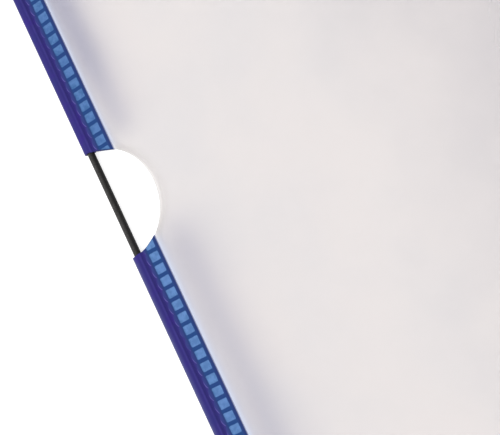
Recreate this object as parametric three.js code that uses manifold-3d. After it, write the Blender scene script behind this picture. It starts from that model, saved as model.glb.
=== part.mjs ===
// Wire-framed display panel: an A4 pocket of two clear films in a blue welded edging, which is
// hemmed round a bent steel wire. The wire's two ends stand out as pivot pins.
// Millimetres, +Z up. The panel lies on its back: X across it, Y up it, Z out of its front.
// The pins are at the hinge side, +X. The finger notch is in the outer side, -X.
import * as THREE from "three";
import { mergeGeometries, mergeVertices } from "three/addons/utils/BufferGeometryUtils.js";
import Module from "manifold-3d";

const wasm = await Module();
wasm.setup();

// Sheet that the pocket takes, and the room that it has each way
const sheetWidth = 210;
const sheetHeight = 297;
const sheetRoom = 6;

// Steel wire
const wireDiameter = 2;
const wireBendRadius = 12.4;
const pinBendRadius = 3;
const pinLength = 8;
const pinInset = 3;

// Blue edging: a hem round the wire, and a front and a back leaf welded to the films between them
const edgingWidth = 8.8;
const windowCornerRadius = 5.2;
const hemWall = 0.35;
const hemRoomAcross = 0.25;
const hemRoomThrough = 0.15;
const hemEndInset = 10;
const leafThickness = 0.35;
const seamWidth = 0.5;

// Row of squares pressed into the front leaf
const squareSide = 2.65;
const squarePitch = 3.5;
const squareInset = 6.3;
const squareDepth = 0.15;

// Clear films, which bulge between their welds
const filmThickness = 0.2;
const filmEdgeGap = 0.3;
const filmBulge = 0.9;
const filmBulgeWidth = 22;
const filmCrownRadius = 6;
const mouthGap = 0.8;

// Half-round finger notch, which bares the wire halfway up the outer side
const notchRadius = 15.5;

// Facets
const wireSides = 12;
const hemSides = 16;
const bendSteps = 8;
const bulgeSteps = 5;
const notchSides = 96;

// Sizes that follow from those above
const wireRadius = wireDiameter / 2;
const cavityHalfWidth = wireRadius + hemRoomAcross;
const cavityHalfHeight = wireRadius + hemRoomThrough;
const hemHalfWidth = cavityHalfWidth + hemWall;
const hemHalfHeight = cavityHalfHeight + hemWall;
const wireInset = hemHalfWidth;
const midZ = hemHalfHeight;
const outerCornerRadius = wireBendRadius + wireInset;
const halfWidth = (sheetWidth + sheetRoom) / 2 + edgingWidth;
const halfHeight = (sheetHeight + sheetRoom) / 2 + edgingWidth;
const leafFaceHeight = filmThickness + leafThickness;
const bandInset = 2 * hemHalfWidth - hemWall / 2;
const seatInset = 2 * hemHalfWidth + seamWidth;
const mouthY = halfHeight - edgingWidth - mouthGap;

// Cutting tools reach this far past what they cut.
const overrun = 1;

function solidOf(geometry) {
  const bare = geometry.clone();
  bare.deleteAttribute("normal");
  bare.deleteAttribute("uv");
  const merged = mergeVertices(bare);
  const vertProperties = new Float32Array(merged.attributes.position.array);
  const triVerts = new Uint32Array(merged.index.array);
  return new wasm.Manifold(new wasm.Mesh({ numProp: 3, vertProperties, triVerts }));
}

function part(name, solid, finish) {
  const mesh = solid.getMesh();
  const indexed = new THREE.BufferGeometry();
  indexed.setAttribute("position", new THREE.BufferAttribute(mesh.vertProperties, 3));
  indexed.setIndex(new THREE.BufferAttribute(mesh.triVerts, 1));
  const geometry = indexed.toNonIndexed();
  geometry.computeVertexNormals();
  const node = new THREE.Mesh(geometry, new THREE.MeshStandardMaterial(finish));
  node.name = name;
  return node;
}

// A level path walked from station to station: the ends of its straight runs, and even steps
// round its bends. Each station has its place and the heading of someone walking the path.
class Route extends THREE.Curve {
  constructor(stations) {
    super();
    this.stations = stations;
  }

  stationAt(share) {
    return this.stations[Math.round(share * (this.stations.length - 1))];
  }

  getPointAt(share, target = new THREE.Vector3()) {
    return target.copy(this.stationAt(share).place);
  }

  getTangentAt(share, target = new THREE.Vector3()) {
    return target.copy(this.stationAt(share).heading);
  }
}

// Stations of a quarter bend round a centre, from an angle. Turn is 1 to the left, -1 to the right.
function quarterBend(x, y, radius, from, turn) {
  return Array.from({ length: bendSteps + 1 }, (_, i) => {
    const angle = from + (turn * Math.PI * i) / (2 * bendSteps);
    const out = new THREE.Vector3(Math.cos(angle), Math.sin(angle), 0);
    const place = new THREE.Vector3(x, y, midZ).addScaledVector(out, radius);
    return { place, heading: new THREE.Vector3(-out.y, out.x, 0).multiplyScalar(turn) };
  });
}

// The wire's two bends at the outer side, walked from the bottom run to the top one
function outerBends() {
  const x = -halfWidth + outerCornerRadius;
  const y = halfHeight - outerCornerRadius;
  return [
    ...quarterBend(x, -y, wireBendRadius, -Math.PI / 2, -1),
    ...quarterBend(x, y, wireBendRadius, Math.PI, -1),
  ];
}

// Sweeps a section along a route. The section's x points down, and its y out of the panel.
function sweep(section, sides, stations) {
  const extrudePath = new Route(stations);
  const steps = stations.length - 1;
  return solidOf(new THREE.ExtrudeGeometry(section, { extrudePath, steps, curveSegments: sides / 2 }));
}

// An ellipse whose facets lie flat at its top, bottom and sides, and touch its true outline there
function facetedEllipse(path, halfHigh, halfWide, sides) {
  const halfStep = Math.PI / sides;
  const reach = 1 / Math.cos(halfStep);
  path.absellipse(0, 0, halfHigh * reach, halfWide * reach, halfStep, halfStep + 2 * Math.PI);
  return path;
}

function wireFrame() {
  const pinX = halfWidth - pinInset;
  const tipY = halfHeight + pinLength;
  const bendX = pinX - pinBendRadius;
  const bendY = halfHeight - wireInset + pinBendRadius;
  const up = new THREE.Vector3(0, 1, 0);
  const stations = [
    { place: new THREE.Vector3(pinX, -tipY, midZ), heading: up },
    ...quarterBend(bendX, -bendY, pinBendRadius, 0, 1),
    ...outerBends(),
    ...quarterBend(bendX, bendY, pinBendRadius, -Math.PI / 2, 1),
    { place: new THREE.Vector3(pinX, tipY, midZ), heading: up },
  ];
  return sweep(facetedEllipse(new THREE.Shape(), wireRadius, wireRadius, wireSides), wireSides, stations);
}

// The hem is a tube round the wire's bottom, outer and top runs, open at both ends.
function hem() {
  const x = halfWidth - hemEndInset;
  const y = halfHeight - wireInset;
  const section = facetedEllipse(new THREE.Shape(), hemHalfHeight, hemHalfWidth, hemSides);
  section.holes.push(facetedEllipse(new THREE.Path(), cavityHalfHeight, cavityHalfWidth, hemSides));
  return sweep(section, hemSides, [
    { place: new THREE.Vector3(x, -y, midZ), heading: new THREE.Vector3(-1, 0, 0) },
    ...outerBends(),
    { place: new THREE.Vector3(x, y, midZ), heading: new THREE.Vector3(1, 0, 0) },
  ]);
}

// The panel's outline moved inward, by one distance at the hinge side and another at the other
// three. It starts halfway up the outer side and runs anticlockwise.
function outline(inset, hingeInset, radius) {
  const left = -halfWidth + inset;
  const right = halfWidth - hingeInset;
  const top = halfHeight - inset;
  const shape = new THREE.Shape();
  shape.moveTo(left, 0);
  shape.absarc(left + radius, -top + radius, radius, Math.PI, (3 * Math.PI) / 2);
  shape.absarc(right - radius, -top + radius, radius, (3 * Math.PI) / 2, 2 * Math.PI);
  shape.absarc(right - radius, top - radius, radius, 0, Math.PI / 2);
  shape.absarc(left + radius, top - radius, radius, Math.PI / 2, Math.PI);
  shape.lineTo(left, 0);
  return shape;
}

function slab(shape, bottom, top) {
  const depth = top - bottom;
  const geometry = new THREE.ExtrudeGeometry(shape, { depth, bevelEnabled: false, curveSegments: bendSteps / 2 });
  return solidOf(geometry.translate(0, 0, bottom));
}

// The films' place between the leaves: side 1 is the front film's, and side -1 the back one's.
// The front film stops below the top border, where the sheet goes in.
function filmSlab(side, gap) {
  const inset = seatInset + gap;
  const shape = outline(inset, leafThickness + gap, outerCornerRadius - inset);
  const [bottom, top] = [midZ, midZ + side * filmThickness].sort((a, b) => a - b);
  const whole = slab(shape, bottom, top);
  return side > 0 ? whole.subtract(aboveMouth(gap)) : whole;
}

function aboveMouth(gap) {
  const height = halfHeight - mouthY + overrun;
  const geometry = new THREE.BoxGeometry(2 * (halfWidth + overrun), height, 4 * midZ);
  return solidOf(geometry.translate(0, mouthY + height / 2 + filmEdgeGap - gap, midZ));
}

function notch() {
  const geometry = new THREE.CylinderGeometry(notchRadius, notchRadius, 4 * midZ, notchSides);
  return solidOf(geometry.rotateX(Math.PI / 2).translate(-halfWidth, 0, midZ));
}

// One row of squares runs all round the border. One square is centred on the notch's level.
function pressedSquares() {
  const row = outline(squareInset, squareInset, windowCornerRadius + edgingWidth - squareInset);
  const count = Math.round(row.getLength() / squarePitch);
  const height = squareDepth + overrun;
  const squares = Array.from({ length: count }, (_, i) => {
    const place = row.getPoint(i / count);
    const along = row.getTangent(i / count);
    const square = new THREE.BoxGeometry(squareSide, squareSide, height);
    square.rotateZ(Math.atan2(along.y, along.x));
    return square.translate(place.x, place.y, midZ + leafFaceHeight - squareDepth + height / 2);
  });
  return solidOf(mergeGeometries(squares));
}

function edging() {
  const bandShape = outline(bandInset, 0, outerCornerRadius - bandInset);
  const windowShape = outline(edgingWidth, edgingWidth, windowCornerRadius);
  const band = slab(bandShape, midZ - leafFaceHeight, midZ + leafFaceHeight);
  const window = slab(windowShape, midZ - leafFaceHeight - overrun, midZ + leafFaceHeight + overrun);
  return band
    .subtract(window)
    .subtract(filmSlab(1, 0))
    .subtract(filmSlab(-1, 0))
    .subtract(pressedSquares())
    .add(hem())
    .subtract(notch());
}

// A lens with a level middle, as thick at its rim as both films, whose faces rise from the rim
function bulge() {
  const inset = edgingWidth + filmEdgeGap + filmBulgeWidth;
  const geometry = new THREE.ExtrudeGeometry(outline(inset, inset, filmCrownRadius), {
    depth: 2 * filmThickness,
    bevelThickness: filmBulge,
    bevelSize: filmBulgeWidth,
    bevelSegments: bulgeSteps,
    curveSegments: bendSteps / 2,
  });
  return geometry.translate(0, 0, midZ - filmThickness);
}

// A film is flat where it is welded, and a shell over the lens between the welds.
function film(side) {
  const under = bulge().translate(0, 0, -side * filmThickness);
  const whole = filmSlab(side, filmEdgeGap).add(solidOf(bulge())).subtract(solidOf(under)).subtract(notch());
  return side > 0 ? whole.subtract(aboveMouth(filmEdgeGap)) : whole;
}

const steel = { color: 0x26262b, roughness: 0.45, metalness: 0.6 };
const bluePlastic = { color: 0x3a3c85, roughness: 0.35, metalness: 0 };
const clearFilm = { color: 0xe5e3e4, roughness: 0.45, metalness: 0, transparent: true, opacity: 0.6 };

const panel = new THREE.Group();
panel.add(part("wire_frame", wireFrame(), steel));
panel.add(part("edge_binding", edging(), bluePlastic));
panel.add(part("front_film", film(1), clearFilm));
panel.add(part("back_film", film(-1), clearFilm));

export default panel;
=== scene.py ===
import math

import bmesh
import bpy
from mathutils import Matrix, Vector, noise
from mathutils.geometry import tessellate_polygon


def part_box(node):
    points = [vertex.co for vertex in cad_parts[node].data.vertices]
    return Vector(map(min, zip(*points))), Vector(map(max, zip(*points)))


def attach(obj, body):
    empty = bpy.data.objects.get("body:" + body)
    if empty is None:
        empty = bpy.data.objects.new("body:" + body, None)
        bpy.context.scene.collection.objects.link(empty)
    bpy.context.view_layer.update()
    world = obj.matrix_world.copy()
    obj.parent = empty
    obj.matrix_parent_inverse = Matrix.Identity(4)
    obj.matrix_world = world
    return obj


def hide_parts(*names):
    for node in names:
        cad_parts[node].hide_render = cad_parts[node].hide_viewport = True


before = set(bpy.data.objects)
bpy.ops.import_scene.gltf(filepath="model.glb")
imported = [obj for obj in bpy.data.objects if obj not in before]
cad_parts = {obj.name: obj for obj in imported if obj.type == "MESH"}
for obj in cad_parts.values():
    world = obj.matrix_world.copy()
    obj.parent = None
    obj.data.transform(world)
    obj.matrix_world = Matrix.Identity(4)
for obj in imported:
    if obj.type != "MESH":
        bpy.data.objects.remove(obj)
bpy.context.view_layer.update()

MM = 0.001

# Sizes read from the frame
EDGE_LOW, EDGE_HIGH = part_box("edge_binding")
WIRE_LOW, WIRE_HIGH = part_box("wire_frame")
HALF_W = EDGE_HIGH[0]
HALF_H = EDGE_HIGH[1]
MID_Z = (EDGE_LOW[2] + EDGE_HIGH[2]) / 2
HEM_HALF_HEIGHT = (EDGE_HIGH[2] - EDGE_LOW[2]) / 2
WIRE_RADIUS = (WIRE_HIGH[2] - WIRE_LOW[2]) / 2
WIRE_INSET = WIRE_LOW[0] + WIRE_RADIUS - EDGE_LOW[0]
HEM_HALF_WIDTH = WIRE_INSET
PIN_X = WIRE_HIGH[0] - WIRE_RADIUS
PIN_TIP = WIRE_HIGH[1]

# Sizes of the construction, the same as the solids'
CORNER = 14 * MM
PIN_BEND = 3 * MM
EDGING_WIDTH = 8.8 * MM
LEAF_FACE = 0.55 * MM
HEM_WALL = 0.35 * MM
HEM_END = 10 * MM
ROW_INSET = 6.3 * MM
SQUARE = 2.65 * MM
PITCH_ASKED = 3.5 * MM
PRESS_DEPTH = 0.15 * MM
NOTCH = 15.5 * MM
FILM = 0.2 * MM
FILM_BULGE = 0.9 * MM
MOUTH_GAP = 0.8 * MM

# Where the band starts beside the hem, in from the outer edge; in the solids it starts at 3.025 mm
BAND_INSET = 3.0 * MM

# Half lengths of the straight sides, between the corners
STRAIGHT_X = HALF_W - CORNER
STRAIGHT_Y = HALF_H - CORNER

# How far inside the notch its rows of points start, and how far beyond it points are still looked at
NOTCH_MARGIN = 1 * MM

# The scalloped line beside the squares, in millimetres: its inset between two squares and how far it
# swells out beside one; the power makes the swell fuller
SCALLOP_INSET = 4.2
SCALLOP_SWELL = 0.58
SWELL_POWER = 0.7

# Camera
# Its place, and its right and up directions, fitted to the photograph's edge, squares and notch
CAMERA_PLACE = Vector((6.1, -64.1, 233.9)) * MM
CAMERA_RIGHT = Vector((0.8136, -0.4329, -0.3882)).normalized()
CAMERA_UP = Vector((0.4646, 0.8854, -0.0135)).normalized()
CAMERA_NEAR = 10 * MM
FOCAL_PIXELS = 1003.7
IMAGE_WIDTH = 500
SENSOR = 36


def add_camera():
    data = bpy.data.cameras.new("camera")
    data.sensor_fit = "HORIZONTAL"
    data.sensor_width = SENSOR
    data.lens = FOCAL_PIXELS * SENSOR / IMAGE_WIDTH
    data.clip_start = CAMERA_NEAR
    camera = bpy.data.objects.new("camera", data)
    bpy.context.scene.collection.objects.link(camera)
    back = CAMERA_RIGHT.cross(CAMERA_UP)
    turn = Matrix((CAMERA_RIGHT, CAMERA_UP, back)).transposed().to_4x4()
    camera.matrix_world = Matrix.Translation(CAMERA_PLACE) @ turn
    bpy.context.scene.camera = camera


# Node helpers
class Nodes:
    """Short calls to build a material's node tree."""

    def __init__(self, name):
        self.material = bpy.data.materials.new(name)
        self.material.use_nodes = True
        self.tree = self.material.node_tree
        self.tree.nodes.clear()
        self.output = self.tree.nodes.new("ShaderNodeOutputMaterial")

    def add(self, kind, inputs=None, **settings):
        node = self.tree.nodes.new(kind)
        for key, value in settings.items():
            setattr(node, key, value)
        for key, value in (inputs or {}).items():
            self.feed(node.inputs[key], value)
        return node

    def feed(self, socket, value):
        if isinstance(value, bpy.types.NodeSocket):
            self.tree.links.new(value, socket)
        else:
            socket.default_value = value

    def math(self, operation, *values):
        node = self.add("ShaderNodeMath", operation=operation)
        for socket, value in zip(node.inputs, values):
            self.feed(socket, value)
        return node.outputs[0]

    def step(self, value, start, end):
        """A soft rise from 0 at the start to 1 at the end."""
        inputs = {"Value": value, "From Min": start, "From Max": end}
        node = self.add("ShaderNodeMapRange", inputs, interpolation_type="SMOOTHSTEP")
        return node.outputs["Result"]

    def object_place(self):
        return self.add("ShaderNodeTexCoord").outputs["Object"]

    def split(self, vector):
        return self.add("ShaderNodeSeparateXYZ", {"Vector": vector}).outputs

    def uv(self):
        return self.split(self.add("ShaderNodeUVMap", uv_map=UV_MAP).outputs[0])

    def noise(self, scale, detail, roughness=0.5):
        inputs = {"Vector": self.object_place(), "Scale": scale, "Detail": detail, "Roughness": roughness}
        return self.add("ShaderNodeTexNoise", inputs).outputs["Fac"]

    def patches(self, scale, detail, start, end, strength=1.0, roughness=0.5):
        """Soft patches of noise, from 0 up to the strength."""
        level = self.step(self.noise(scale, detail, roughness), start, end)
        return self.math("MULTIPLY", level, strength)

    def waver(self, scale, detail, size):
        """Noise about zero, half the size to either side."""
        return self.math("MULTIPLY", self.math("SUBTRACT", self.noise(scale, detail), 0.5), size)

    def raised(self, low, level, spread):
        """The low value, raised by the level's share of the spread."""
        return self.math("ADD", low, self.math("MULTIPLY", level, spread))

    def mix(self, share, first, second):
        node = self.add("ShaderNodeMix", data_type="RGBA")
        first_colour, second_colour = [socket for socket in node.inputs if socket.type == "RGBA"]
        self.feed(node.inputs["Factor"], share)
        self.feed(first_colour, first)
        self.feed(second_colour, second)
        return next(socket for socket in node.outputs if socket.type == "RGBA")

    def bump(self, height, strength, distance, normal=None):
        inputs = {"Height": height, "Strength": strength, "Distance": distance}
        if normal is not None:
            inputs["Normal"] = normal
        return self.add("ShaderNodeBump", inputs).outputs["Normal"]

    def plastic(self, inputs):
        shader = self.add("ShaderNodeBsdfPrincipled", inputs)
        return self.surface(shader.outputs[0])

    def surface(self, shader):
        self.tree.links.new(shader, self.output.inputs["Surface"])
        return self.material


def srgb(red, green, blue):
    """A colour given as it looks on screen, 0 to 255, made linear."""
    def linear(value):
        value = value / 255
        return value / 12.92 if value <= 0.04045 else ((value + 0.055) / 1.055) ** 2.4
    return (linear(red), linear(green), linear(blue), 1.0)


UV_MAP = "UVMap"

# Wire material
WIRE_BLACK = srgb(50, 49, 48)
WIRE_GREY = srgb(74, 73, 72)
WIRE_WORN = srgb(72, 71, 70)
# Painted shade for the wire's inner side
WIRE_PAINTED_SHADE = srgb(22, 21, 21)
WIRE_FINE = {"scale": 2600, "detail": 4, "roughness": 0.6}
WIRE_GREY_START = 0.42
WIRE_GREY_END = 0.68
WIRE_WEAR = {"scale": 180, "detail": 2, "start": 0.5, "end": 0.75, "strength": 0.35}
WIRE_ROUGHNESS = 0.42
WIRE_ROUGHNESS_SPREAD = 0.2
WIRE_BUMP = {"strength": 0.35, "distance": 0.04 * MM}
WIRE_GLOSS = 0.22

# Painted shade on the wire's inner side, by the cosine of the angle round the wire from its innermost
# line
SHADE_SIDE_START = -0.15
SHADE_SIDE_END = 0.85
SHADE_SIDE_STRENGTH = 0.9


def wire_material():
    n = Nodes("wire_black_coat")
    fine = n.noise(**WIRE_FINE)
    around = n.uv()[1]
    colour = n.mix(n.step(fine, WIRE_GREY_START, WIRE_GREY_END), WIRE_BLACK, WIRE_GREY)
    colour = n.mix(n.patches(**WIRE_WEAR), colour, WIRE_WORN)
    # Paint shade on the wire's inner side
    inner = n.step(n.math("COSINE", n.math("MULTIPLY", around, 2 * math.pi)), SHADE_SIDE_START, SHADE_SIDE_END)
    colour = n.mix(n.math("MULTIPLY", inner, SHADE_SIDE_STRENGTH), colour, WIRE_PAINTED_SHADE)
    return n.plastic({
        "Base Color": colour,
        "Metallic": 0.0,
        "Roughness": n.raised(WIRE_ROUGHNESS, fine, WIRE_ROUGHNESS_SPREAD),
        "Normal": n.bump(fine, **WIRE_BUMP),
        "Specular IOR Level": WIRE_GLOSS,
    })


# Edging material
RIM_BLUE = srgb(88, 85, 142)
HEM_BLUE = srgb(58, 52, 128)
# Painted light on the hem's steep foot, lifting its shading
CREASE_PAINTED_LIGHT = srgb(76, 69, 152)
SCALLOP_BLUE = srgb(58, 66, 135)
SHADE_BLUE = srgb(43, 63, 122)
MARGIN_BLUE = srgb(38, 74, 134)
CUT_BLUE = srgb(80, 92, 144)
# Painted highlight along the band's inner edge
EDGE_PAINTED_HIGHLIGHT = srgb(228, 232, 252)

# Where each tone lies on the hem's side, in millimetres in from the outer edge; the lighter stop at 2.6
# mm is painted light that lifts the shading of the hem's steep foot
HEM_COLOURS = (
    (0.0, RIM_BLUE),
    (1.1, HEM_BLUE),
    (2.2, HEM_BLUE),
    (2.6, CREASE_PAINTED_LIGHT),
    (3.0, HEM_BLUE),
)

# The same for the blue margin, in from the scallops; the last stops run into a painted highlight along
# the band's inner edge
MARGIN_COLOURS = (
    (4.0, SCALLOP_BLUE),
    (4.6, SHADE_BLUE),
    (5.0, MARGIN_BLUE),
    (7.6, MARGIN_BLUE),
    (8.2, SHADE_BLUE),
    (8.45, SHADE_BLUE),
    (8.62, CUT_BLUE),
    (8.8, EDGE_PAINTED_HIGHLIGHT),
)

# The edging's UV map has pitches as U, and as V the inset as a share of this many millimetres
RAMP_REACH = 10.0

# An inset in the hem's plain blue, which paints the whole back
PLAIN_INSET = 2.0

# The scalloped line's waver, and from where to where across it the tones change, in millimetres
LINE_WAVER = {"scale": 330, "detail": 2, "size": 0.4}
LINE_START = -0.06
LINE_END = 0.1

# Broken glints along the scalloped line, painted highlights on its bead, in millimetres across it and in
# pitches along it
GLINT_BLUE = srgb(112, 104, 184)
GLINT_REACH = 0.16
GLINT_CORE = 0.03
GLINT_START = -0.2
GLINT_END = 0.3
GLINT_STRENGTH = 0.85
GLINT_BREAKS = {"scale": 200, "detail": 2, "start": 0.32, "end": 0.52}

# A paler rim along the panel's lower half, in millimetres in from the outer edge
PALE_BLUE = srgb(122, 132, 160)
PALE_END = 2.0
PALE_FULL = 0.6
PALE_STRENGTH = 0.26

# Patches over all but the squares, the last two on the hem only, by the distance past the scalloped line
DRIFT_BLUE = srgb(50, 46, 122)
DRIFT = {"scale": 70, "detail": 2, "start": 0.35, "end": 0.7, "strength": 0.16}
VIOLET = srgb(64, 44, 144)
VIOLET_PATCHES = {"scale": 210, "detail": 2, "start": 0.52, "end": 0.7, "strength": 0.5}
DULL_BLUE = srgb(52, 56, 128)
DULL_PATCHES = {"scale": 130, "detail": 3, "start": 0.5, "end": 0.68, "strength": 0.4}
HEM_ONLY_END = 0.1
HEM_ONLY_FULL = -0.3

# The light squares' painted size, along the row and across it, with soft wobbly edges, in millimetres
TINT_ALONG = 2.42
TINT_ACROSS = 2.8
TINT_CORNER = 0.3
TINT_SOFT_OUT = 0.1
TINT_SOFT_IN = 0.12
TINT_WOBBLE = {"scale": 900, "detail": 2, "size": 0.24}

# The light squares' mottling, with a painted highlight on the edge at the start of each
SQUARE_BLUE = srgb(71, 112, 168)
SQUARE_LIGHT = srgb(96, 137, 195)
MOTTLE = {"scale": 700, "detail": 3, "roughness": 0.55, "start": 0.36, "end": 0.64}
SQUARE_VIOLET = srgb(98, 133, 198)
SQUARE_TONE = {"scale": 110, "detail": 2, "start": 0.4, "end": 0.65, "strength": 0.35}
SPECK_BLUE = srgb(58, 98, 156)
SPECKS = {"scale": 1300, "detail": 2, "start": 0.62, "end": 0.72, "strength": 0.4}
SQUARE_HIGHLIGHT = srgb(108, 148, 204)
SQUARE_HIGHLIGHT_START = 0.02
SQUARE_HIGHLIGHT_END = -0.36
SQUARE_HIGHLIGHT_STRENGTH = 0.3

# Squares are a little darker in the panel's upper half and lighter in its lower one
UPPER_BLUE = srgb(62, 104, 158)
UPPER_STRENGTH = 0.22
LOWER_BLUE = srgb(118, 158, 216)
LOWER_STRENGTH = 0.25
HALVES_BLEND = 20 * MM

EDGING_SOFT = {"scale": 320, "detail": 2}
EDGING_SOFT_BUMP = {"strength": 0.22, "distance": 0.1 * MM}
EDGING_GRAIN = {"scale": 2400, "detail": 3, "roughness": 0.6}
EDGING_GRAIN_BUMP = {"strength": 0.15, "distance": 0.03 * MM}
EDGING_ROUGHNESS = 0.36
EDGING_ROUGHNESS_SPREAD = 0.2
EDGING_GLOSS = 0.06


def ramp_of(n, inset, colours):
    ramp = n.add("ShaderNodeValToRGB", {"Fac": inset})
    stops = ramp.color_ramp.elements
    for stop, (place, colour) in zip(stops, (colours[0], colours[-1])):
        stop.position = place / RAMP_REACH
        stop.color = colour
    for place, colour in colours[1:-1]:
        stops.new(place / RAMP_REACH).color = colour
    return ramp.outputs["Color"]


def square_mask(n, cell, inset_mm):
    """Rounded squares, one in the middle of each pitch."""
    along = n.math("MULTIPLY", n.math("ABSOLUTE", cell), PITCH_ASKED / MM)
    across = n.math("ABSOLUTE", n.math("SUBTRACT", inset_mm, ROW_INSET / MM))
    dx = n.math("MAXIMUM", n.math("SUBTRACT", along, TINT_ALONG / 2 - TINT_CORNER), 0.0)
    dy = n.math("MAXIMUM", n.math("SUBTRACT", across, TINT_ACROSS / 2 - TINT_CORNER), 0.0)
    reach = n.math("SQRT", n.math("ADD", n.math("MULTIPLY", dx, dx), n.math("MULTIPLY", dy, dy)))
    reach = n.math("ADD", reach, n.waver(**TINT_WOBBLE))
    return n.step(reach, TINT_CORNER + TINT_SOFT_OUT, TINT_CORNER - TINT_SOFT_IN)


def square_colour(n, cell, upper, lower):
    colour = n.mix(n.patches(**MOTTLE), SQUARE_BLUE, SQUARE_LIGHT)
    colour = n.mix(n.patches(**SQUARE_TONE), colour, SQUARE_VIOLET)
    colour = n.mix(n.patches(**SPECKS), colour, SPECK_BLUE)
    # A painted highlight on the edge at the start of each square
    edge = n.step(cell, SQUARE_HIGHLIGHT_START, SQUARE_HIGHLIGHT_END)
    colour = n.mix(n.math("MULTIPLY", edge, SQUARE_HIGHLIGHT_STRENGTH), colour, SQUARE_HIGHLIGHT)
    colour = n.mix(n.math("MULTIPLY", upper, UPPER_STRENGTH), colour, UPPER_BLUE)
    return n.mix(n.math("MULTIPLY", lower, LOWER_STRENGTH), colour, LOWER_BLUE)


def ground_colour(n, cell, inset, inset_mm, lower):
    """The hem's tones and the margin's, parted by a scalloped line that swells out beside each square."""
    swell = n.math("POWER", n.math("COSINE", n.math("MULTIPLY", cell, math.pi)), SWELL_POWER)
    line = n.math("ADD", n.math("MULTIPLY", swell, -SCALLOP_SWELL), SCALLOP_INSET)
    line = n.math("ADD", line, n.waver(**LINE_WAVER))
    past = n.math("SUBTRACT", inset_mm, line)
    hem = ramp_of(n, inset, HEM_COLOURS)
    margin = ramp_of(n, inset, MARGIN_COLOURS)
    colour = n.mix(n.step(past, LINE_START, LINE_END), hem, margin)

    near = n.step(n.math("ABSOLUTE", past), GLINT_REACH, GLINT_CORE)
    second_half = n.step(cell, GLINT_START, GLINT_END)
    glint = n.math("MULTIPLY", n.math("MULTIPLY", near, second_half), n.patches(**GLINT_BREAKS))
    # Painted highlight glints along the scalloped line
    colour = n.mix(n.math("MULTIPLY", glint, GLINT_STRENGTH), colour, GLINT_BLUE)

    rim = n.math("MULTIPLY", n.step(inset_mm, PALE_END, PALE_FULL), lower)
    colour = n.mix(n.math("MULTIPLY", rim, PALE_STRENGTH), colour, PALE_BLUE)
    colour = n.mix(n.patches(**DRIFT), colour, DRIFT_BLUE)
    hem_only = n.step(past, HEM_ONLY_END, HEM_ONLY_FULL)
    colour = n.mix(n.math("MULTIPLY", n.patches(**VIOLET_PATCHES), hem_only), colour, VIOLET)
    return n.mix(n.math("MULTIPLY", n.patches(**DULL_PATCHES), hem_only), colour, DULL_BLUE)


def edging_material():
    n = Nodes("edging_blue_plastic")
    uv = n.uv()
    cell = n.math("SUBTRACT", n.math("FRACT", uv[0]), 0.5)
    inset_mm = n.math("MULTIPLY", uv[1], RAMP_REACH)
    level = n.split(n.object_place())[1]
    upper = n.step(level, -HALVES_BLEND, HALVES_BLEND)
    lower = n.step(level, HALVES_BLEND, -HALVES_BLEND)
    ground = ground_colour(n, cell, uv[1], inset_mm, lower)
    colour = n.mix(square_mask(n, cell, inset_mm), ground, square_colour(n, cell, upper, lower))
    soft = n.noise(**EDGING_SOFT)
    normal = n.bump(soft, **EDGING_SOFT_BUMP)
    return n.plastic({
        "Base Color": colour,
        "Roughness": n.raised(EDGING_ROUGHNESS, soft, EDGING_ROUGHNESS_SPREAD),
        "Normal": n.bump(n.noise(**EDGING_GRAIN), **EDGING_GRAIN_BUMP, normal=normal),
        "Specular IOR Level": EDGING_GLOSS,
    })


# Film material
FILM_WARM = srgb(252, 245, 244)
FILM_COOL = srgb(246, 241, 242)
FILM_BROAD = {"scale": 26, "detail": 3, "roughness": 0.55}
FILM_COOL_START = 0.35
FILM_COOL_END = 0.7

# Where along X the films turn slightly darker
DUSK_GREY = srgb(226, 219, 222)
DUSK_START = -30 * MM
DUSK_END = 50 * MM
DUSK_WAVER = 60 * MM

# The painted blue-grey shade beside a border, the painted highlight along it and the cut edge, and what
# each adds to the alpha
SHADE_BAND_BLUE = srgb(146, 148, 186)
# Painted highlight along the welds
GLEAM_WHITE = srgb(222, 232, 255)
CUT_GREY = srgb(232, 228, 226)
FILM_ALPHA = 0.3
SHADE_BAND_ALPHA = 0.12
GLEAM_ALPHA = 0.68
CUT_ALPHA = 0.22
CUT_REACH = 2.4 * MM
CUT_STRENGTH = 0.8

FILM_FINE = {"scale": 4200, "detail": 2, "roughness": 0.6}
FILM_ROUGHNESS = 0.36
FILM_ROUGHNESS_SPREAD = 0.14
FILM_BUMP = {"strength": 0.08, "distance": 0.02 * MM}
FILM_GLOSS = 0.2


def notch_edge(n):
    """1 at the films' cut edge round the notch, falling to 0 within its reach."""
    flat = n.add("ShaderNodeVectorMath", {0: n.object_place(), 1: (1.0, 1.0, 0.0)}, operation="MULTIPLY")
    ends = {0: flat.outputs[0], 1: (-HALF_W, 0.0, 0.0)}
    reach = n.add("ShaderNodeVectorMath", ends, operation="DISTANCE").outputs["Value"]
    return n.step(reach, NOTCH + CUT_REACH, NOTCH)


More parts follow.
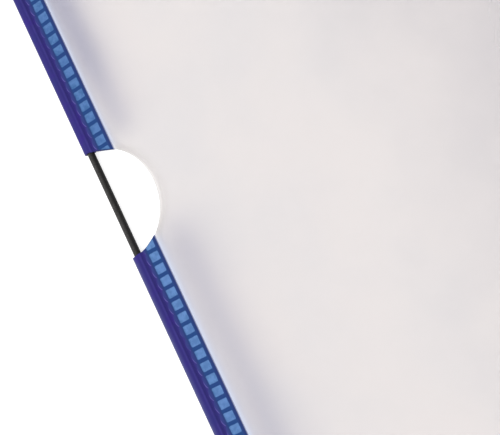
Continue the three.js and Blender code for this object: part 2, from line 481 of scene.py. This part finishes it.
def film_material():
    n = Nodes("clear_antiglare_film")
    uv = n.uv()
    # U carries the painted blue-grey shade beside the borders, V the painted highlight along the welds
    shade_band = uv[0]
    gleam = uv[1]
    cut = notch_edge(n)
    fine = n.noise(**FILM_FINE)
    broad = n.noise(**FILM_BROAD)
    colour = n.mix(n.step(broad, FILM_COOL_START, FILM_COOL_END), FILM_WARM, FILM_COOL)
    across = n.raised(n.split(n.object_place())[0], broad, DUSK_WAVER)
    colour = n.mix(n.step(across, DUSK_START, DUSK_END), colour, DUSK_GREY)
    colour = n.mix(shade_band, colour, SHADE_BAND_BLUE)
    # Paint the highlight along the welds
    colour = n.mix(gleam, colour, GLEAM_WHITE)
    colour = n.mix(n.math("MULTIPLY", cut, CUT_STRENGTH), colour, CUT_GREY)
    alpha = n.raised(FILM_ALPHA, shade_band, SHADE_BAND_ALPHA)
    alpha = n.raised(alpha, gleam, GLEAM_ALPHA)
    alpha = n.raised(alpha, cut, CUT_ALPHA)
    return n.plastic({
        "Base Color": colour,
        "Roughness": n.raised(FILM_ROUGHNESS, fine, FILM_ROUGHNESS_SPREAD),
        "Normal": n.bump(fine, **FILM_BUMP),
        "Alpha": alpha,
        "Specular IOR Level": FILM_GLOSS,
    })


# Mesh helpers
MERGE = 1e-7
SHARP_ANGLE = math.radians(42)


def mesh_object(name, points, faces, uvs, material):
    """A smooth mesh object; uvs holds one pair for each point."""
    mesh = bpy.data.meshes.new(name)
    mesh.from_pydata([tuple(p) for p in points], [], faces)
    layer = mesh.uv_layers.new(name=UV_MAP)
    for loop in mesh.loops:
        layer.data[loop.index].uv = uvs[loop.vertex_index]
    work = bmesh.new()
    work.from_mesh(mesh)
    bmesh.ops.remove_doubles(work, verts=work.verts, dist=MERGE)
    bmesh.ops.dissolve_degenerate(work, edges=work.edges, dist=MERGE)
    bmesh.ops.recalc_face_normals(work, faces=work.faces)
    work.to_mesh(mesh)
    work.free()
    for face in mesh.polygons:
        face.use_smooth = True
    mesh.set_sharp_from_angle(angle=SHARP_ANGLE)
    mesh.materials.append(material)
    piece = bpy.data.objects.new(name, mesh)
    bpy.context.scene.collection.objects.link(piece)
    return piece


def grid_faces(rows, columns, wrap_rows):
    """Quads between columns of points, where point (c, r) is number c * rows + r."""
    faces = []
    last = rows if wrap_rows else rows - 1
    for c in range(columns - 1):
        for r in range(last):
            a = c * rows + r
            b = c * rows + (r + 1) % rows
            faces.append((a, b, b + rows, a + rows))
    return faces


def soft_step(value, low, high):
    t = max(0.0, min(1.0, (value - low) / (high - low)))
    return t * t * (3 - 2 * t)


def hump(value, centre, reach):
    """A soft hump of height 1 at its centre."""
    return math.exp(-(((value - centre) / reach) ** 2))


def noise_at(place, scale, layer):
    """Smooth noise over the plane, from -1 to 1, with a layer of its own for each use."""
    return noise.noise(Vector((place.x * scale, place.y * scale, layer)))


# Route round the panel
ROW_RADIUS = CORNER - ROW_INSET
ROW_LENGTH = 4 * STRAIGHT_X + 4 * STRAIGHT_Y + 2 * math.pi * ROW_RADIUS
SQUARES = round(ROW_LENGTH / PITCH_ASKED)
PITCH = ROW_LENGTH / SQUARES

# How far the row is shifted down the outer side, in pitches
ROW_SHIFT = 0.14


def hinge_inset(angle):
    """The band's outer inset round a hinge corner, by the angle up from the hinge side."""
    shift = BAND_INSET
    radius = CORNER - BAND_INSET
    reach = shift * math.cos(angle) + math.sqrt(radius**2 - (shift * math.sin(angle)) ** 2)
    if math.sin(angle) > 0 and reach * math.cos(angle) < shift:
        reach = radius / math.sin(angle)
    return CORNER - reach


def row_legs():
    """The legs of the squares' row, from halfway up the outer side down, and so anticlockwise round.

    Each has its length, then its start, heading, way in and the band's outer inset. A corner has its
    centre for a start, its first angle for a heading and no way in, and at the hinge no one inset.
    """
    quarter = math.pi * ROW_RADIUS / 2
    row_x = HALF_W - ROW_INSET
    row_y = HALF_H - ROW_INSET
    right, up = Vector((1, 0)), Vector((0, 1))
    return (
        (STRAIGHT_Y, Vector((-row_x, 0)), -up, right, BAND_INSET),
        (quarter, Vector((-STRAIGHT_X, -STRAIGHT_Y)), math.pi, None, BAND_INSET),
        (2 * STRAIGHT_X, Vector((-STRAIGHT_X, -row_y)), right, up, BAND_INSET),
        (quarter, Vector((STRAIGHT_X, -STRAIGHT_Y)), 1.5 * math.pi, None, None),
        (2 * STRAIGHT_Y, Vector((row_x, -STRAIGHT_Y)), up, -right, 0.0),
        (quarter, Vector((STRAIGHT_X, STRAIGHT_Y)), 0.0, None, None),
        (2 * STRAIGHT_X, Vector((STRAIGHT_X, row_y)), -right, -up, BAND_INSET),
        (quarter, Vector((-STRAIGHT_X, STRAIGHT_Y)), 0.5 * math.pi, None, BAND_INSET),
        (STRAIGHT_Y, Vector((-row_x, STRAIGHT_Y)), -up, right, BAND_INSET),
    )


def station(s):
    """A point of the squares' row, the way in from it, and the band's outer inset there."""
    legs = row_legs()
    for number, (length, start, heading, inward, outer) in enumerate(legs, 1):
        if s <= length or number == len(legs):
            break
        s -= length
    if inward is not None:
        return start + heading * s, inward, outer
    angle = heading + s / ROW_RADIUS
    out = Vector((math.cos(angle), math.sin(angle)))
    if outer is None:
        outer = hinge_inset(abs(math.asin(max(-1.0, min(1.0, out.y)))))
    return start + out * ROW_RADIUS, -out, outer


def notch_half(inset):
    """Half the notch's length along the outer side, at an inset."""
    return math.sqrt(max(NOTCH**2 - inset**2, 0.0))


def clear_of_notch(place, inset, slack=0.0):
    """Moves a point of the outer side that lies in the notch up or down to its cut edge."""
    if place.x > -HALF_W + CORNER or abs(place.y) > NOTCH + NOTCH_MARGIN:
        return place
    half = notch_half(inset) + slack
    if abs(place.y) < half:
        place.y = math.copysign(half, place.y)
    return place


# Blue edging: the welded band
# Columns of points in each pitch, as shares of it from the square's middle
TILE_COLUMNS = (-0.5, -0.405, -0.355, -0.29, -0.12, 0.12, 0.29, 0.355, 0.405)

# Rows across the band's front, from the hem's foot to the inner edge, and back along its underside,
# as insets in millimetres
BEAD_ROW_STEP = 0.15
BEAD_ROW_COUNT = 11
BEAD_ROWS = tuple(round(BAND_INSET / MM + BEAD_ROW_STEP * i, 2) for i in range(BEAD_ROW_COUNT))
SQUARE_ROWS = (4.85, 4.97, 5.07, 5.25, 5.9, 6.7, 7.35, 7.53, 7.63, 7.75)
INNER_ROWS = (8.1, 8.5, 8.6, 8.7, 8.8)
FRONT_ROWS = BEAD_ROWS + SQUARE_ROWS + INNER_ROWS
BACK_ROWS = (8.8, 8.7, 8.5, 6.0, 3.3, 3.0)

# The rows outside this one spread out to the edge at the hinge side, where there is no hem
MARGIN_ROW = 4.5

# Heights and reaches of the band's relief, in millimetres
FILLET = 0.36
FILLET_END = 3.55
BEAD = 0.09
BEAD_DIP = 0.03
BEAD_WAVER = 0.04
BEAD_REACH = 0.2
PRESS_SLOPE = 0.16
CROWN = 0.035
LIP = 0.03
LIP_PLACE = 1.5
LIP_REACH = 0.14
INNER_DROP = 0.3
INNER_DROP_START = 8.5
DENTS = 0.02
DENT_SCALE = 260
DENT_LAYER = 3.0


def press(cell, inset):
    """How far down the front is pressed, 0 to 1, at a share of a pitch from a square's middle."""
    half = SQUARE / MM / 2
    along = soft_step(abs(cell) * PITCH / MM, half, half - PRESS_SLOPE)
    across = soft_step(abs(inset - ROW_INSET / MM), half, half - PRESS_SLOPE)
    return along * across


def front_height(cell, inset, seed):
    """Height of the band's front over its own level face, in millimetres."""
    swell = math.cos(math.pi * min(abs(cell), 0.5)) ** SWELL_POWER
    bead_size = BEAD - BEAD_DIP * swell + BEAD_WAVER * seed
    bead = bead_size * hump(inset, SCALLOP_INSET - SCALLOP_SWELL * swell, BEAD_REACH)
    fillet = FILLET * (1 - soft_step(inset, BAND_INSET / MM, FILLET_END))
    pressed = press(cell, inset)
    crown = CROWN * (1 - (abs(cell) * PITCH / SQUARE * 2) ** 2) * pressed
    lip = LIP * hump(abs(inset - ROW_INSET / MM), LIP_PLACE, LIP_REACH)
    drop = INNER_DROP * soft_step(inset, INNER_DROP_START, EDGING_WIDTH / MM)
    dents = DENTS * seed * (1 - pressed)
    return bead + fillet + lip + dents + crown - drop - pressed * PRESS_DEPTH / MM


def spread_out(row, outer_mm):
    """A row's inset, with the outer rows spread between the band's outer inset and the margin row."""
    if row >= MARGIN_ROW:
        return row
    share = (row - BAND_INSET / MM) / (MARGIN_ROW - BAND_INSET / MM)
    return outer_mm + (MARGIN_ROW - outer_mm) * share


def band_stations():
    """Places along the row, each with its share of a pitch from the nearest square's middle."""
    start = notch_half(EDGING_WIDTH) - NOTCH_MARGIN
    stations = []
    for tile in range(SQUARES + 1):
        for cell in TILE_COLUMNS:
            s = (tile + cell + ROW_SHIFT) * PITCH
            if start < s < ROW_LENGTH - start:
                stations.append((s, cell))
    return stations


def add_band(material):
    stations = band_stations()
    ring_rows = [(row, True) for row in FRONT_ROWS] + [(row, False) for row in BACK_ROWS]
    points, uvs = [], []
    for s, cell in stations:
        base, inward, outer = station(s)
        along = s / PITCH + 0.5 - ROW_SHIFT
        beside_hem = 1 - abs(BAND_INSET - outer) / BAND_INSET
        for row, front in ring_rows:
            inset = spread_out(row, outer / MM)
            flat = clear_of_notch(base + inward * (inset * MM - ROW_INSET), inset * MM)
            seed = noise_at(flat, DENT_SCALE, DENT_LAYER)
            if front:
                rise = front_height(cell, row, seed)
                height = LEAF_FACE + (rise * beside_hem if row < MARGIN_ROW else rise) * MM
            else:
                height = -LEAF_FACE + DENTS * MM * seed
            points.append((flat.x, flat.y, MID_Z + height))
            uvs.append((along, (inset if front else PLAIN_INSET) / RAMP_REACH))
    count = len(ring_rows)
    faces = grid_faces(count, len(stations), True)
    for first in (0, (len(stations) - 1) * count):
        ring = [Vector((points[first + r][0], points[first + r][2], 0)) for r in range(count)]
        faces += [tuple(first + i for i in face) for face in tessellate_polygon([ring])]
    return mesh_object("edging_band", points, faces, uvs, material)


# Blue edging: the hem
HEM_SIDES = 30
HEM_STEP = 0.9 * MM
HEM_BEND_STEPS = 24

# The ragged cut at the notch, by noise along the angle, along the side and apart for each wall
RAGGED = 0.12 * MM
RAGGED_SCALES = (1.7, 50, 900)

# The waver of the hem's inner slope
HEM_WAVER = 0.035 * MM
HEM_WAVER_SCALE = 330
HEM_WAVER_LAYER = 1.0

# Below this height the hem has the plain blue of the back
HEM_FRONT_LOW = -0.8 * MM


def hem_route(sign):
    """Flat points of the hem's middle line in the upper or lower half, each with the way in from it."""
    radius = CORNER - WIRE_INSET
    notch_start = notch_half(2 * HEM_HALF_WIDTH) - NOTCH_MARGIN
    end_x = HALF_W - HEM_END
    centre = Vector((-STRAIGHT_X, sign * STRAIGHT_Y))
    route = []
    steps = round((STRAIGHT_Y - notch_start) / HEM_STEP)
    for i in range(steps):
        y = notch_start + (STRAIGHT_Y - notch_start) * i / steps
        route.append((Vector((-HALF_W + WIRE_INSET, sign * y)), Vector((1, 0))))
    for i in range(HEM_BEND_STEPS):
        angle = math.pi / 2 * i / HEM_BEND_STEPS
        out = Vector((-math.cos(angle), sign * math.sin(angle)))
        route.append((centre + out * radius, -out))
    steps = round((end_x + STRAIGHT_X) / HEM_STEP)
    for i in range(steps + 1):
        x = -STRAIGHT_X + (end_x + STRAIGHT_X) * i / steps
        route.append((Vector((x, sign * (HALF_H - WIRE_INSET))), Vector((0, -sign))))
    return route


def hem_point(base, inward, angle, wall):
    """A point of the hem's outer face, or of its inner face where a wall is given, and its inset."""
    across = (HEM_HALF_WIDTH - wall) * math.cos(angle)
    height = (HEM_HALF_HEIGHT - wall) * math.sin(angle)
    inset = HEM_HALF_WIDTH + across
    angle_scale, side_scale, wall_scale = RAGGED_SCALES
    place = Vector((angle * angle_scale, base.y * side_scale, wall * wall_scale))
    flat = clear_of_notch(base + inward * across, inset, RAGGED * noise.noise(place))
    if wall == 0.0 and across > 0 and height > 0:
        height += HEM_WAVER * noise_at(flat, HEM_WAVER_SCALE, HEM_WAVER_LAYER)
    return flat, height, inset


def hem_faces(columns):
    """The tube's outer and inner face and its ends; each ring has the outer face's points first."""
    rows = 2 * HEM_SIDES
    faces = []
    for c in range(columns - 1):
        for wall_start in (0, HEM_SIDES):
            for r in range(HEM_SIDES):
                a = c * rows + wall_start + r
                b = c * rows + wall_start + (r + 1) % HEM_SIDES
                faces.append((a, b, b + rows, a + rows))
    for first in (0, (columns - 1) * rows):
        for r in range(HEM_SIDES):
            a = first + r
            b = first + (r + 1) % HEM_SIDES
            faces.append((a, b, b + HEM_SIDES, a + HEM_SIDES))
    return faces


def add_hem(name, sign, material):
    route = hem_route(sign)
    points, uvs = [], []
    for base, inward in route:
        for wall in (0.0, HEM_WALL):
            for side in range(HEM_SIDES):
                flat, height, inset = hem_point(base, inward, 2 * math.pi * side / HEM_SIDES, wall)
                shown_inset = inset / MM if height > HEM_FRONT_LOW else PLAIN_INSET
                points.append((flat.x, flat.y, MID_Z + height))
                uvs.append((0.0, shown_inset / RAMP_REACH))
    return mesh_object(name, points, hem_faces(len(route)), uvs, material)


# Steel wire
WIRE_SIDES = 28
WIRE_BEND_STEPS = 20
WIRE_SIDE_STEPS = 60

# The rounded tips: how far along the rounding each ring lies, and how much of it its radius lacks
TIP_ROUND = 0.25 * MM
TIP_RINGS = ((0.0, 1.0), (0.3, 0.3), (1.0, 0.0))

# How far the bare wire in the notch bows in, and the bow's reach up and down the side
BARE_BOW = 0.13 * MM
BARE_REACH = 40 * MM


def wire_line():
    """Flat points of the wire's whole line, from the lower pin to the upper one, with headings."""
    radius = CORNER - WIRE_INSET
    run_y = HALF_H - WIRE_INSET
    bend_x = PIN_X - PIN_BEND
    up = Vector((0, 1))
    line = [(Vector((PIN_X, -PIN_TIP)), up)]

    def bend(centre, reach, start, turn):
        for i in range(WIRE_BEND_STEPS + 1):
            angle = start + turn * math.pi / 2 * i / WIRE_BEND_STEPS
            out = Vector((math.cos(angle), math.sin(angle)))
            line.append((centre + out * reach, Vector((-out.y, out.x)) * turn))

    bend(Vector((bend_x, -run_y - PIN_BEND)), PIN_BEND, 0, 1)
    bend(Vector((-STRAIGHT_X, -STRAIGHT_Y)), radius, -math.pi / 2, -1)
    for i in range(1, WIRE_SIDE_STEPS):
        y = -STRAIGHT_Y + 2 * STRAIGHT_Y * i / WIRE_SIDE_STEPS
        bow = BARE_BOW * hump(y, 0.0, BARE_REACH)
        line.append((Vector((-HALF_W + WIRE_INSET + bow, y)), up))
    bend(Vector((-STRAIGHT_X, STRAIGHT_Y)), radius, math.pi, -1)
    bend(Vector((bend_x, run_y + PIN_BEND)), PIN_BEND, -math.pi / 2, 1)
    line.append((Vector((PIN_X, PIN_TIP)), up))
    return line


def tip_rings(place, heading, inward):
    """The rings of a rounded tip, from its flat end inwards."""
    rings = []
    for along, lack in TIP_RINGS:
        rings.append((place + inward * TIP_ROUND * along, heading, WIRE_RADIUS - TIP_ROUND * lack))
    return rings


def add_wire(material):
    first, *middle, last = wire_line()
    rings = tip_rings(*first, first[1])
    rings += [(place, heading, WIRE_RADIUS) for place, heading in middle]
    rings += reversed(tip_rings(*last, -last[1]))
    points, uvs = [], []
    for place, heading, radius in rings:
        inner_side = Vector((heading.y, -heading.x))
        for k in range(WIRE_SIDES):
            angle = 2 * math.pi * k / WIRE_SIDES
            flat = place + inner_side * radius * math.cos(angle)
            points.append((flat.x, flat.y, MID_Z + radius * math.sin(angle)))
            # V runs round from the wire's inner side, where the material paints shade
            uvs.append((0.0, min(k, WIRE_SIDES - k) / WIRE_SIDES))
    faces = grid_faces(WIRE_SIDES, len(rings), True)
    for end in (0, (len(rings) - 1) * WIRE_SIDES):
        faces.append(tuple(end + k for k in range(WIRE_SIDES)))
    return mesh_object("wire", points, faces, uvs, material)


# Clear films
# How far they go under the band; the solids' films go on further under it
FILM_UNDER = 0.5 * MM
FILM_LEFT = -HALF_W + EDGING_WIDTH
WELD_END = math.sqrt(NOTCH**2 - EDGING_WIDTH**2)

# The grid: columns that crowd towards the sides, even rows, and beside the notch more rows, at a
# share of the panel's half height
FILM_COLUMNS = 110
FILM_CROWDING = 2.2
FILM_ROWS = 240
NOTCH_ROWS = 42
NOTCH_ROW_SHARE = 1 / 400

# How the films rise from their welds: the reach in millimetres, its waver, and what the lower half adds
RISE_REACH = 7.5
RISE_REACH_WAVER = 3.5
RISE_REACH_LOWER = 3.5
RISE_BLEND = 30 * MM
RISE_POWER = 1.25
RISE_LEVEL = 0.93
RISE_WAVER = 0.07
RISE_NOISE_X = 14
RISE_NOISE_Y = 11
RISE_LAYER = 5.0

# The painted blue-grey shade beside the outer border, in millimetres in from the panel's edge and up
# or down from its middle: a core, and a weaker halo further in. Both fade in beside the notch.
SHADE_ABOVE_NOTCH = {
    "centre": 13.3,
    "centre_drift": -0.02,
    "centre_waver": 0.3,
    "outward": 3.2,
    "outward_growth": 0.06,
    "inward": 4.9,
    "core": 0.55,
    "halo": 0.14,
    "halo_reaches": (5, 8),
    "start": (10, 22),
    "first_strength": 0.62,
}
SHADE_BELOW_NOTCH = {
    "centre": 14.4,
    "centre_drift": 0.0,
    "centre_waver": 0.4,
    "outward": 4.6,
    "outward_growth": 0.0,
    "inward": 5.6,
    "core": 0.3,
    "halo": 0.13,
    "halo_reaches": (6, 9),
    "start": (5, 21),
    "first_strength": 1.0,
}
HALO_SHIFT = 4

# Above the notch the painted shade gets stronger between these two, and wider and nearer from the first
# one on
GROWTH_START = 20
GROWTH_END = 42

# The same painted shade beside the other borders
OTHER_CENTRE = 14.2
OTHER_WAVER = 2
OTHER_REACHES = (4, 5)
OTHER_STRENGTH = 0.3

SHADE_NOISE_SCALE = 0.03
SHADE_LAYER = 2.0

# The painted highlight's reach from the weld, in millimetres, and what it gains below the notch
GLEAM_REACH = 0.85
GLEAM_GAIN = 0.5


def crowded(count, power):
    """Shares from 0 to 1 that crowd towards both ends."""
    shares = []
    for i in range(count + 1):
        t = 2 * i / count - 1
        shares.append(0.5 + 0.5 * math.copysign(1 - (1 - abs(t)) ** power, t))
    return shares


def film_rise(x, y, side):
    """How far a film stands off the middle plane, by its distance from the welds."""
    from_left = math.hypot(max(x - FILM_LEFT, 0.0), max(WELD_END - abs(y), 0.0))
    from_right = HALF_W - EDGING_WIDTH - x
    from_bottom = HALF_H - EDGING_WIDTH + y
    from_top = HALF_H - EDGING_WIDTH - y
    near = max(min(from_left, from_right, from_bottom, from_top), 0.0)
    waver = noise.noise(Vector((x * RISE_NOISE_X, y * RISE_NOISE_Y, RISE_LAYER * side)))
    reach = RISE_REACH + RISE_REACH_WAVER * waver
    reach += RISE_REACH_LOWER * soft_step(-y, -RISE_BLEND, RISE_BLEND)
    rise = FILM_BULGE * (1 - math.exp(-((near / (reach * MM)) ** RISE_POWER)))
    return rise * (RISE_LEVEL + RISE_WAVER * waver)


def lopsided(value, centre, below, above):
    """A soft hump with a reach of its own on each side."""
    return hump(value, centre, below if value < centre else above)


def outer_shade(shade, inset, level, waver):
    """The painted shade beside the outer border, at an inset and at a distance from the panel's middle.
    """
    growth = max(level - GROWTH_START, 0)
    centre = shade["centre"] + shade["centre_drift"] * growth + shade["centre_waver"] * waver
    outward = shade["outward"] + shade["outward_growth"] * growth
    shade_band = shade["core"] * lopsided(inset, centre, outward, shade["inward"])
    shade_band += shade["halo"] * lopsided(inset, centre + HALO_SHIFT, *shade["halo_reaches"])
    gained = (1 - shade["first_strength"]) * soft_step(level, GROWTH_START, GROWTH_END)
    return shade_band * soft_step(level, *shade["start"]) * (shade["first_strength"] + gained)


def film_marks(x, y):
    """The films' painted blue-grey shade beside a border, and the painted highlight along it, each 0 to
    1.
    """
    inset = (x + HALF_W) / MM
    level = y / MM
    waver = noise.noise(Vector((level * SHADE_NOISE_SCALE, SHADE_LAYER, 0.0)))
    shade = SHADE_ABOVE_NOTCH if level > 0 else SHADE_BELOW_NOTCH
    shade_band = outer_shade(shade, inset, abs(level), waver)
    others = min(HALF_W - x, HALF_H - abs(y)) / MM
    other_shade_band = lopsided(others, OTHER_CENTRE + OTHER_WAVER * waver, *OTHER_REACHES)
    shade_band = max(shade_band, OTHER_STRENGTH * other_shade_band)
    from_weld = max(min(inset, others) - EDGING_WIDTH / MM, 0)
    reach = GLEAM_REACH + GLEAM_GAIN * soft_step(-level, *SHADE_BELOW_NOTCH["start"])
    return min(shade_band, 1.0), math.exp(-from_weld / reach)


def film_levels(side):
    """Where the rows lie. The front film ends short of the top border, and the back one under it."""
    low = -HALF_H + EDGING_WIDTH - FILM_UNDER
    high = HALF_H - EDGING_WIDTH + (-MOUTH_GAP if side > 0 else FILM_UNDER)
    even = {-1 + 2 * share for share in crowded(FILM_ROWS, 1.0)}
    notch = {i * NOTCH_ROW_SHARE for i in range(-NOTCH_ROWS, NOTCH_ROWS + 1)}
    inside = {min(max(t * HALF_H, low), high) for t in even | notch}
    return sorted(inside | {low, high})


def sheet_rim(rows, columns):
    """The numbers of the points round a sheet, in order."""
    rim = [r * columns for r in range(rows)]
    rim += [(rows - 1) * columns + c for c in range(1, columns)]
    rim += [r * columns + columns - 1 for r in range(rows - 2, -1, -1)]
    return rim + list(range(columns - 2, 0, -1))


def add_film(name, side, material):
    shares = crowded(FILM_COLUMNS, FILM_CROWDING)
    levels = film_levels(side)
    right = HALF_W - EDGING_WIDTH + FILM_UNDER
    points, uvs = [], []
    for thickness in (0.0, FILM):
        for y in levels:
            left = max(FILM_LEFT - FILM_UNDER, -HALF_W + notch_half(y))
            for share in shares:
                x = left + (right - left) * share
                points.append((x, y, MID_Z + side * (film_rise(x, y, side) + thickness)))
                # U holds the painted shade and V the painted highlight
                uvs.append(film_marks(x, y))
    sheet = len(levels) * len(shares)
    faces = grid_faces(len(shares), len(levels), False)
    faces += [tuple(sheet + i for i in face)[::-1] for face in faces]
    rim = sheet_rim(len(levels), len(shares))
    for a, b in zip(rim, rim[1:] + rim[:1]):
        faces.append((a, b, b + sheet, a + sheet))
    return mesh_object(name, points, faces, uvs, material)


# Floor and light, in metres and watts
FLOOR_COLOUR = (0.56, 0.56, 0.56, 1.0)
FLOOR_GLOW = 0.78
FLOOR_HALF = 3.0
WHITE = (1.0, 1.0, 1.0, 1.0)
SEEN_STRENGTH = 1.0
ROOM_LIGHT = 0.66
KEY_LAMP = {"place": (-0.6, 0.12, 0.8), "target": (-0.08, 0.0, 0.0), "size": 0.9, "power": 4.2}
FILL_LAMP = {"place": (0.4, -0.4, 0.9), "target": (0.0, 0.0, 0.0), "size": 0.9, "power": 0.8}


def floor_material():
    """A grey floor that looks white, by a glow that only camera, glossy and transmission rays see."""
    n = Nodes("floor_white")
    rays = n.add("ShaderNodeLightPath").outputs
    seen = n.math("MAXIMUM", rays["Is Camera Ray"], rays["Is Glossy Ray"])
    seen = n.math("MAXIMUM", seen, rays["Is Transmission Ray"])
    diffuse = n.add("ShaderNodeBsdfDiffuse", {"Color": FLOOR_COLOUR})
    glow = n.add("ShaderNodeEmission", {"Strength": n.math("MULTIPLY", seen, FLOOR_GLOW)})
    both = n.add("ShaderNodeAddShader", {0: diffuse.outputs[0], 1: glow.outputs[0]})
    return n.surface(both.outputs[0])


def add_floor():
    mesh = bpy.data.meshes.new("floor")
    corners = [(FLOOR_HALF * x, FLOOR_HALF * y, 0) for x, y in ((-1, -1), (1, -1), (1, 1), (-1, 1))]
    mesh.from_pydata(corners, [], [(0, 1, 2, 3)])
    mesh.materials.append(floor_material())
    floor = bpy.data.objects.new("floor", mesh)
    bpy.context.scene.collection.objects.link(floor)


def add_lamp(name, place, target, size, power):
    data = bpy.data.lights.new(name, "AREA")
    data.shape = "SQUARE"
    data.size = size
    data.energy = power
    lamp = bpy.data.objects.new(name, data)
    bpy.context.scene.collection.objects.link(lamp)
    lamp.location = place
    lamp.rotation_euler = (Vector(target) - Vector(place)).to_track_quat("-Z", "Y").to_euler()


def add_room():
    """A room that is white where the camera sees it, and dimmer as a light."""
    world = bpy.data.worlds.new("soft_room")
    bpy.context.scene.world = world
    world.use_nodes = True
    tree = world.node_tree
    background = tree.nodes["Background"]
    background.inputs["Color"].default_value = WHITE
    rays = tree.nodes.new("ShaderNodeLightPath")
    strength = tree.nodes.new("ShaderNodeMapRange")
    strength.inputs["To Min"].default_value = ROOM_LIGHT
    strength.inputs["To Max"].default_value = SEEN_STRENGTH
    tree.links.new(rays.outputs["Is Camera Ray"], strength.inputs["Value"])
    tree.links.new(strength.outputs["Result"], background.inputs["Strength"])


add_camera()
wire = add_wire(wire_material())
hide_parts("wire_frame")
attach(wire, "root")

blue = edging_material()
band = add_band(blue)
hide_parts("edge_binding")
hem_upper = add_hem("edging_hem_upper", 1, blue)
hem_lower = add_hem("edging_hem_lower", -1, blue)
for piece in (band, hem_upper, hem_lower):
    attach(piece, "root")

clear = film_material()
for film_name, film_side in (("front_film", 1), ("back_film", -1)):
    film = add_film("sheet_" + film_name, film_side, clear)
    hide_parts(film_name)
    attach(film, "root")

add_floor()
add_room()
add_lamp("key", **KEY_LAMP)
add_lamp("fill", **FILL_LAMP)
bpy.context.scene.view_settings.view_transform = "Standard"
